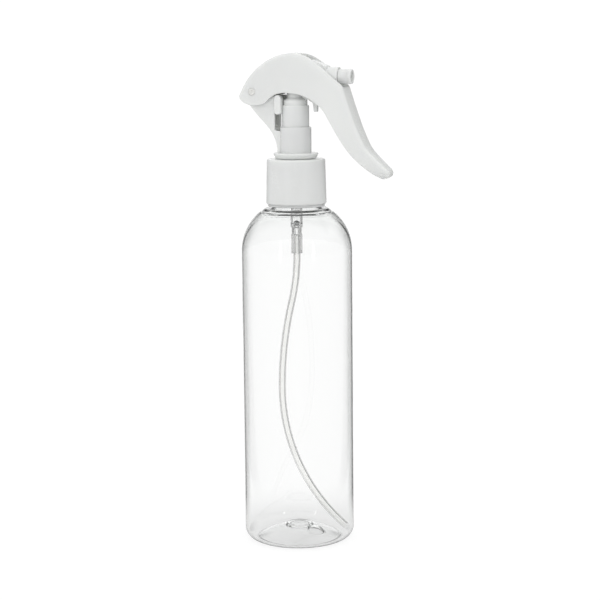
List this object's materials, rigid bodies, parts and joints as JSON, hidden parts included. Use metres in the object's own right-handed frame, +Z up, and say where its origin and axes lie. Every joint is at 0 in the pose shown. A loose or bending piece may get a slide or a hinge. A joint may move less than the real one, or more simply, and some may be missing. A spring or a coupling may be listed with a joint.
{
  "type": "trigger spray bottle",
  "caption": "Clear tall round bottle with a white screw closure and a small trigger sprayer whose arched lever presses a sliding spray head.",
  "frame": {"origin": "centre of the bottle's standing ring, on the bottle's axis, on the surface it stands on", "axes": "+Z up along the bottle's axis, +X the way the nozzle sprays, +Y to the left of the spray direction"},
  "size_m": [0.0696, 0.05, 0.2212],
  "materials": {
    "clear_pet": "clear glossy blown PET",
    "white_pp": "satin moulded white polypropylene",
    "natural_pp": "milky natural polypropylene",
    "natural_pe": "soft milky polyethylene",
    "pin_plastic": "smooth warm white plastic",
    "grey_plastic": "smooth pale grey plastic",
    "foam": "soft white foam",
    "spring_steel": "drawn stainless wire",
    "ball_steel": "polished steel ball"
  },
  "bodies": {
    "bottle": {"bottle": "clear_pet"},
    "pump": {"gasket": "foam", "pump_housing": "natural_pp", "stem_guide": "natural_pp", "pump_body": "white_pp", "hinge_pin": "pin_plastic", "dip_tube": "natural_pe"},
    "closure": {"closure": "white_pp"},
    "lever": {"lever": "white_pp"},
    "actuator": {"actuator": "white_pp", "nozzle_tip": "white_pp", "orifice_cup": "grey_plastic", "swirl_plug": "natural_pp", "stem": "natural_pp", "piston": "natural_pe", "return_spring": "spring_steel"},
    "inlet_ball": {"inlet_ball": "ball_steel"},
    "outlet_ball": {"outlet_ball": "ball_steel"}
  },
  "joints": [
    {"name": "pump_lift", "type": "slide", "parent": "bottle", "child": "pump", "axis": [0, 0, 1], "range_m": [0, 0.00476]},
    {"name": "closure_turn", "type": "hinge", "parent": "pump", "child": "closure", "pos_m": [0, 0, 0.16], "axis": [0, 0, 1], "range_deg": [0, 540]},
    {"name": "lever_hinge", "type": "hinge", "parent": "pump", "child": "lever", "pos_m": [-0.0183, 0, 0.2041], "axis": [0, 1, 0], "range_deg": [0, 15]},
    {"name": "actuator_slide", "type": "slide", "parent": "pump", "child": "actuator", "axis": [0, 0, -1], "range_m": [0, 0.0054], "stiffness_N_per_m": 400, "springref_m": -0.004, "deforming": ["return_spring"]},
    {"name": "inlet_ball_lift", "type": "slide", "parent": "pump", "child": "inlet_ball", "axis": [0, 0, 1], "range_m": [0, 0.001]},
    {"name": "outlet_ball_lift", "type": "slide", "parent": "actuator", "child": "outlet_ball", "axis": [0, 0, 1], "range_m": [0, 0.0008]}
  ],
  "couplings": [
    {"joint": "closure_turn", "follows": "pump_lift", "rad_per_m": 1978.9},
    {"joint": "lever_hinge", "follows": "actuator_slide", "rad_per_m": 48.414}
  ]
}
